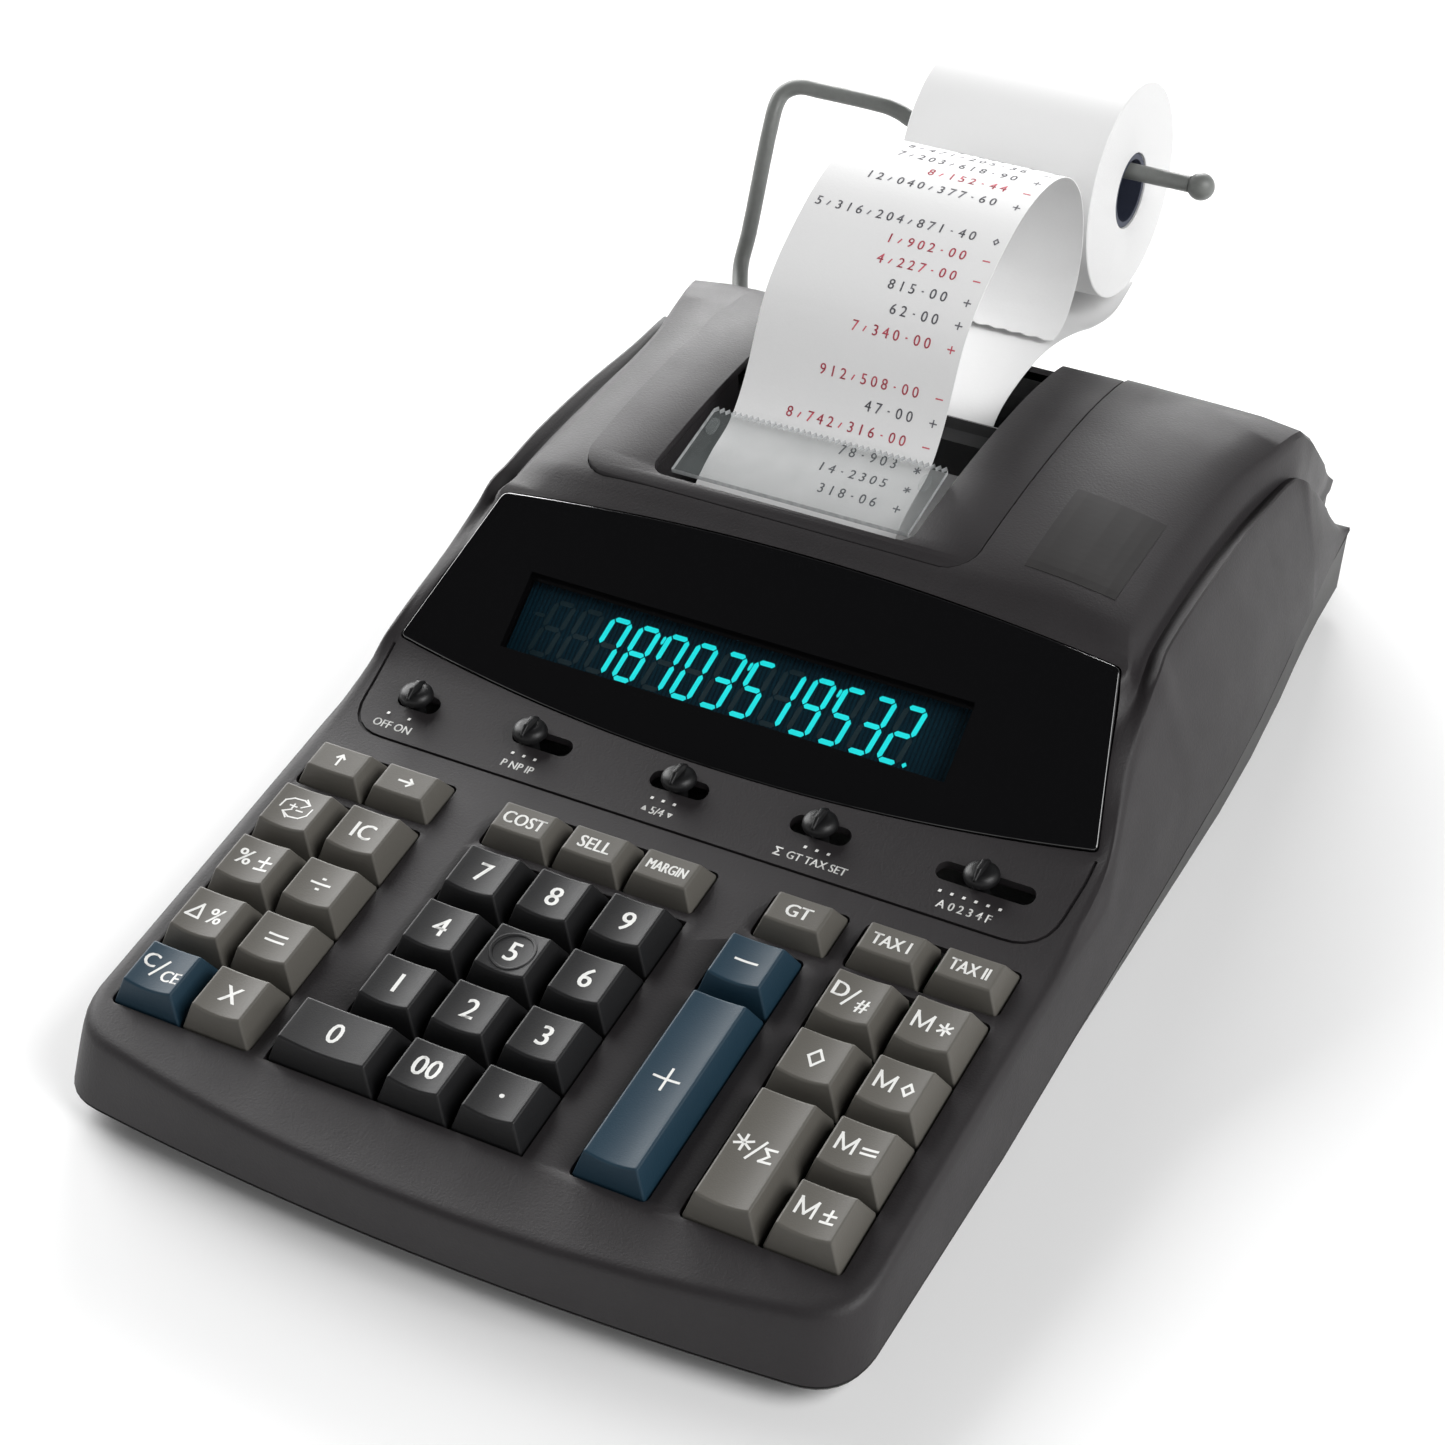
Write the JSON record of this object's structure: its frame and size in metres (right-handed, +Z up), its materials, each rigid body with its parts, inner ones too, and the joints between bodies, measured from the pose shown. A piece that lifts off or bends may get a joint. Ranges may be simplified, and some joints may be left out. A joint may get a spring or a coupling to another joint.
{
  "type": "printing desk calculator",
  "caption": "Desk calculator with sloping keyboard, raised display window, impact printer under a hinged cover and a paper roll carried on a bent wire arm.",
  "frame": {"origin": "on the desk, under the middle of the bounding box of the whole machine with its roll", "axes": "+Z up from the desk, +Y from the front edge to the rear, +X to the right of somebody using it"},
  "size_m": [0.209, 0.3866, 0.1214],
  "materials": {
    "case_plastic": "fine textured charcoal",
    "cover_plastic": "fine textured charcoal",
    "base_plastic": "fine textured dark grey",
    "key_grey": "satin warm grey",
    "key_black": "satin black",
    "key_blue": "satin dark blue",
    "knob_black": "satin black",
    "display_lens": "polished smoked acrylic",
    "display_tube": "dark glass tube",
    "clear_plastic": "clear moulding",
    "printer_plastic": "black",
    "rubber": "matte",
    "spool_plastic": "satin",
    "paper": "smooth uncoated",
    "card_core": "dark tube",
    "wire_steel": "grey coated wire",
    "circuit_board": "green laminate",
    "transformer_steel": "laminated steel"
  },
  "bodies": {
    "case": {"bottom_case": "base_plastic", "top_case": "case_plastic", "display_window": "display_lens", "display_tube": "display_tube", "printer_frame": "printer_plastic", "paper_tape": "paper", "roll_arm": "wire_steel", "key_board": "circuit_board", "transformer": "transformer_steel", "foot_front": "rubber", "foot_rear": "rubber"},
    "cover": {"printer_cover": "cover_plastic", "tear_bar": "clear_plastic"},
    "roll": {"paper_roll": "paper", "roll_core": "card_core"},
    "platen": {"platen_roller": "rubber"},
    "spool_left": {"ribbon_spool_left": "spool_plastic"},
    "spool_right": {"ribbon_spool_right": "spool_plastic"},
    "key_0": {"key_0": "key_black"},
    "key_00": {"key_00": "key_black"},
    "key_1": {"key_1": "key_black"},
    "key_2": {"key_2": "key_black"},
    "key_3": {"key_3": "key_black"},
    "key_4": {"key_4": "key_black"},
    "key_5": {"key_5": "key_black"},
    "key_6": {"key_6": "key_black"},
    "key_7": {"key_7": "key_black"},
    "key_8": {"key_8": "key_black"},
    "key_9": {"key_9": "key_black"},
    "key_backspace": {"key_backspace": "key_grey"},
    "key_change_sign": {"key_change_sign": "key_grey"},
    "key_clear": {"key_clear": "key_blue"},
    "key_cost": {"key_cost": "key_grey"},
    "key_delta_percent": {"key_delta_percent": "key_grey"},
    "key_divide": {"key_divide": "key_grey"},
    "key_equals": {"key_equals": "key_grey"},
    "key_grand_total": {"key_grand_total": "key_grey"},
    "key_item_count": {"key_item_count": "key_grey"},
    "key_item_number": {"key_item_number": "key_grey"},
    "key_margin": {"key_margin": "key_grey"},
    "key_memory_equals": {"key_memory_equals": "key_grey"},
    "key_memory_plus": {"key_memory_plus": "key_grey"},
    "key_memory_subtotal": {"key_memory_subtotal": "key_grey"},
    "key_memory_total": {"key_memory_total": "key_grey"},
    "key_minus": {"key_minus": "key_blue"},
    "key_multiply": {"key_multiply": "key_grey"},
    "key_paper_feed": {"key_paper_feed": "key_grey"},
    "key_percent_change": {"key_percent_change": "key_grey"},
    "key_plus": {"key_plus": "key_blue"},
    "key_point": {"key_point": "key_black"},
    "key_sell": {"key_sell": "key_grey"},
    "key_subtotal": {"key_subtotal": "key_grey"},
    "key_tax_one": {"key_tax_one": "key_grey"},
    "key_tax_two": {"key_tax_two": "key_grey"},
    "key_total": {"key_total": "key_grey"},
    "slider_power": {"slider_power": "knob_black"},
    "slider_print": {"slider_print": "knob_black"},
    "slider_rounding": {"slider_rounding": "knob_black"},
    "slider_total": {"slider_total": "knob_black"},
    "slider_decimal": {"slider_decimal": "knob_black"}
  },
  "joints": [
    {"name": "cover_hinge", "type": "hinge", "parent": "case", "child": "cover", "pos_m": [0, 0.10025, 0.0699], "axis": [-1, 0, 0], "range_deg": [0, 75]},
    {"name": "roll_spin", "type": "hinge", "parent": "case", "child": "roll", "pos_m": [0, 0.16325, 0.0895], "axis": [1, 0, 0], "continuous": true},
    {"name": "platen_spin", "type": "hinge", "parent": "case", "child": "platen", "pos_m": [-0.0125, 0.01825, 0.053], "axis": [1, 0, 0], "continuous": true},
    {"name": "spool_left_spin", "type": "hinge", "parent": "case", "child": "spool_left", "pos_m": [-0.034, 0.03925, 0.026], "axis": [0, 0, 1], "continuous": true},
    {"name": "spool_right_spin", "type": "hinge", "parent": "case", "child": "spool_right", "pos_m": [0.009, 0.03925, 0.026], "axis": [0, 0, 1], "continuous": true},
    {"name": "key_0_press", "type": "slide", "parent": "case", "child": "key_0", "axis": [0, -0.0958, 0.9954], "range_m": [-0.0035, 0], "stiffness_N_per_m": 180, "springref_m": 0.0015},
    {"name": "key_00_press", "type": "slide", "parent": "case", "child": "key_00", "axis": [0, -0.0958, 0.9954], "range_m": [-0.0035, 0], "stiffness_N_per_m": 180, "springref_m": 0.0015},
    {"name": "key_1_press", "type": "slide", "parent": "case", "child": "key_1", "axis": [0, -0.0958, 0.9954], "range_m": [-0.0035, 0], "stiffness_N_per_m": 180, "springref_m": 0.0015},
    {"name": "key_2_press", "type": "slide", "parent": "case", "child": "key_2", "axis": [0, -0.0958, 0.9954], "range_m": [-0.0035, 0], "stiffness_N_per_m": 180, "springref_m": 0.0015},
    {"name": "key_3_press", "type": "slide", "parent": "case", "child": "key_3", "axis": [0, -0.0958, 0.9954], "range_m": [-0.0035, 0], "stiffness_N_per_m": 180, "springref_m": 0.0015},
    {"name": "key_4_press", "type": "slide", "parent": "case", "child": "key_4", "axis": [0, -0.0958, 0.9954], "range_m": [-0.0035, 0], "stiffness_N_per_m": 180, "springref_m": 0.0015},
    {"name": "key_5_press", "type": "slide", "parent": "case", "child": "key_5", "axis": [0, -0.0958, 0.9954], "range_m": [-0.0035, 0], "stiffness_N_per_m": 180, "springref_m": 0.0015},
    {"name": "key_6_press", "type": "slide", "parent": "case", "child": "key_6", "axis": [0, -0.0958, 0.9954], "range_m": [-0.0035, 0], "stiffness_N_per_m": 180, "springref_m": 0.0015},
    {"name": "key_7_press", "type": "slide", "parent": "case", "child": "key_7", "axis": [0, -0.0958, 0.9954], "range_m": [-0.0035, 0], "stiffness_N_per_m": 180, "springref_m": 0.0015},
    {"name": "key_8_press", "type": "slide", "parent": "case", "child": "key_8", "axis": [0, -0.0958, 0.9954], "range_m": [-0.0035, 0], "stiffness_N_per_m": 180, "springref_m": 0.0015},
    {"name": "key_9_press", "type": "slide", "parent": "case", "child": "key_9", "axis": [0, -0.0958, 0.9954], "range_m": [-0.0035, 0], "stiffness_N_per_m": 180, "springref_m": 0.0015},
    {"name": "key_backspace_press", "type": "slide", "parent": "case", "child": "key_backspace", "axis": [0, -0.0958, 0.9954], "range_m": [-0.0035, 0], "stiffness_N_per_m": 180, "springref_m": 0.0015},
    {"name": "key_change_sign_press", "type": "slide", "parent": "case", "child": "key_change_sign", "axis": [0, -0.0958, 0.9954], "range_m": [-0.0035, 0], "stiffness_N_per_m": 180, "springref_m": 0.0015},
    {"name": "key_clear_press", "type": "slide", "parent": "case", "child": "key_clear", "axis": [0, -0.0958, 0.9954], "range_m": [-0.0035, 0], "stiffness_N_per_m": 180, "springref_m": 0.0015},
    {"name": "key_cost_press", "type": "slide", "parent": "case", "child": "key_cost", "axis": [0, -0.0958, 0.9954], "range_m": [-0.0035, 0], "stiffness_N_per_m": 180, "springref_m": 0.0015},
    {"name": "key_delta_percent_press", "type": "slide", "parent": "case", "child": "key_delta_percent", "axis": [0, -0.0958, 0.9954], "range_m": [-0.0035, 0], "stiffness_N_per_m": 180, "springref_m": 0.0015},
    {"name": "key_divide_press", "type": "slide", "parent": "case", "child": "key_divide", "axis": [0, -0.0958, 0.9954], "range_m": [-0.0035, 0], "stiffness_N_per_m": 180, "springref_m": 0.0015},
    {"name": "key_equals_press", "type": "slide", "parent": "case", "child": "key_equals", "axis": [0, -0.0958, 0.9954], "range_m": [-0.0035, 0], "stiffness_N_per_m": 180, "springref_m": 0.0015},
    {"name": "key_grand_total_press", "type": "slide", "parent": "case", "child": "key_grand_total", "axis": [0, -0.0958, 0.9954], "range_m": [-0.0035, 0], "stiffness_N_per_m": 180, "springref_m": 0.0015},
    {"name": "key_item_count_press", "type": "slide", "parent": "case", "child": "key_item_count", "axis": [0, -0.0958, 0.9954], "range_m": [-0.0035, 0], "stiffness_N_per_m": 180, "springref_m": 0.0015},
    {"name": "key_item_number_press", "type": "slide", "parent": "case", "child": "key_item_number", "axis": [0, -0.0958, 0.9954], "range_m": [-0.0035, 0], "stiffness_N_per_m": 180, "springref_m": 0.0015},
    {"name": "key_margin_press", "type": "slide", "parent": "case", "child": "key_margin", "axis": [0, -0.0958, 0.9954], "range_m": [-0.0035, 0], "stiffness_N_per_m": 180, "springref_m": 0.0015},
    {"name": "key_memory_equals_press", "type": "slide", "parent": "case", "child": "key_memory_equals", "axis": [0, -0.0958, 0.9954], "range_m": [-0.0035, 0], "stiffness_N_per_m": 180, "springref_m": 0.0015},
    {"name": "key_memory_plus_press", "type": "slide", "parent": "case", "child": "key_memory_plus", "axis": [0, -0.0958, 0.9954], "range_m": [-0.0035, 0], "stiffness_N_per_m": 180, "springref_m": 0.0015},
    {"name": "key_memory_subtotal_press", "type": "slide", "parent": "case", "child": "key_memory_subtotal", "axis": [0, -0.0958, 0.9954], "range_m": [-0.0035, 0], "stiffness_N_per_m": 180, "springref_m": 0.0015},
    {"name": "key_memory_total_press", "type": "slide", "parent": "case", "child": "key_memory_total", "axis": [0, -0.0958, 0.9954], "range_m": [-0.0035, 0], "stiffness_N_per_m": 180, "springref_m": 0.0015},
    {"name": "key_minus_press", "type": "slide", "parent": "case", "child": "key_minus", "axis": [0, -0.0958, 0.9954], "range_m": [-0.0035, 0], "stiffness_N_per_m": 180, "springref_m": 0.0015},
    {"name": "key_multiply_press", "type": "slide", "parent": "case", "child": "key_multiply", "axis": [0, -0.0958, 0.9954], "range_m": [-0.0035, 0], "stiffness_N_per_m": 180, "springref_m": 0.0015},
    {"name": "key_paper_feed_press", "type": "slide", "parent": "case", "child": "key_paper_feed", "axis": [0, -0.0958, 0.9954], "range_m": [-0.0035, 0], "stiffness_N_per_m": 180, "springref_m": 0.0015},
    {"name": "key_percent_change_press", "type": "slide", "parent": "case", "child": "key_percent_change", "axis": [0, -0.0958, 0.9954], "range_m": [-0.0035, 0], "stiffness_N_per_m": 180, "springref_m": 0.0015},
    {"name": "key_plus_press", "type": "slide", "parent": "case", "child": "key_plus", "axis": [0, -0.0958, 0.9954], "range_m": [-0.0035, 0], "stiffness_N_per_m": 180, "springref_m": 0.0015},
    {"name": "key_point_press", "type": "slide", "parent": "case", "child": "key_point", "axis": [0, -0.0958, 0.9954], "range_m": [-0.0035, 0], "stiffness_N_per_m": 180, "springref_m": 0.0015},
    {"name": "key_sell_press", "type": "slide", "parent": "case", "child": "key_sell", "axis": [0, -0.0958, 0.9954], "range_m": [-0.0035, 0], "stiffness_N_per_m": 180, "springref_m": 0.0015},
    {"name": "key_subtotal_press", "type": "slide", "parent": "case", "child": "key_subtotal", "axis": [0, -0.0958, 0.9954], "range_m": [-0.0035, 0], "stiffness_N_per_m": 180, "springref_m": 0.0015},
    {"name": "key_tax_one_press", "type": "slide", "parent": "case", "child": "key_tax_one", "axis": [0, -0.0958, 0.9954], "range_m": [-0.0035, 0], "stiffness_N_per_m": 180, "springref_m": 0.0015},
    {"name": "key_tax_two_press", "type": "slide", "parent": "case", "child": "key_tax_two", "axis": [0, -0.0958, 0.9954], "range_m": [-0.0035, 0], "stiffness_N_per_m": 180, "springref_m": 0.0015},
    {"name": "key_total_press", "type": "slide", "parent": "case", "child": "key_total", "axis": [0, -0.0958, 0.9954], "range_m": [-0.0035, 0], "stiffness_N_per_m": 180, "springref_m": 0.0015},
    {"name": "slider_power_slide", "type": "slide", "parent": "case", "child": "slider_power", "axis": [1, 0, 0], "range_m": [0, 0.003]},
    {"name": "slider_print_slide", "type": "slide", "parent": "case", "child": "slider_print", "axis": [1, 0, 0], "range_m": [0, 0.0062]},
    {"name": "slider_rounding_slide", "type": "slide", "parent": "case", "child": "slider_rounding", "axis": [1, 0, 0], "range_m": [-0.003, 0.003]},
    {"name": "slider_total_slide", "type": "slide", "parent": "case", "child": "slider_total", "axis": [1, 0, 0], "range_m": [-0.003, 0.003]},
    {"name": "slider_decimal_slide", "type": "slide", "parent": "case", "child": "slider_decimal", "axis": [1, 0, 0], "range_m": [-0.0062, 0.0093]}
  ]
}
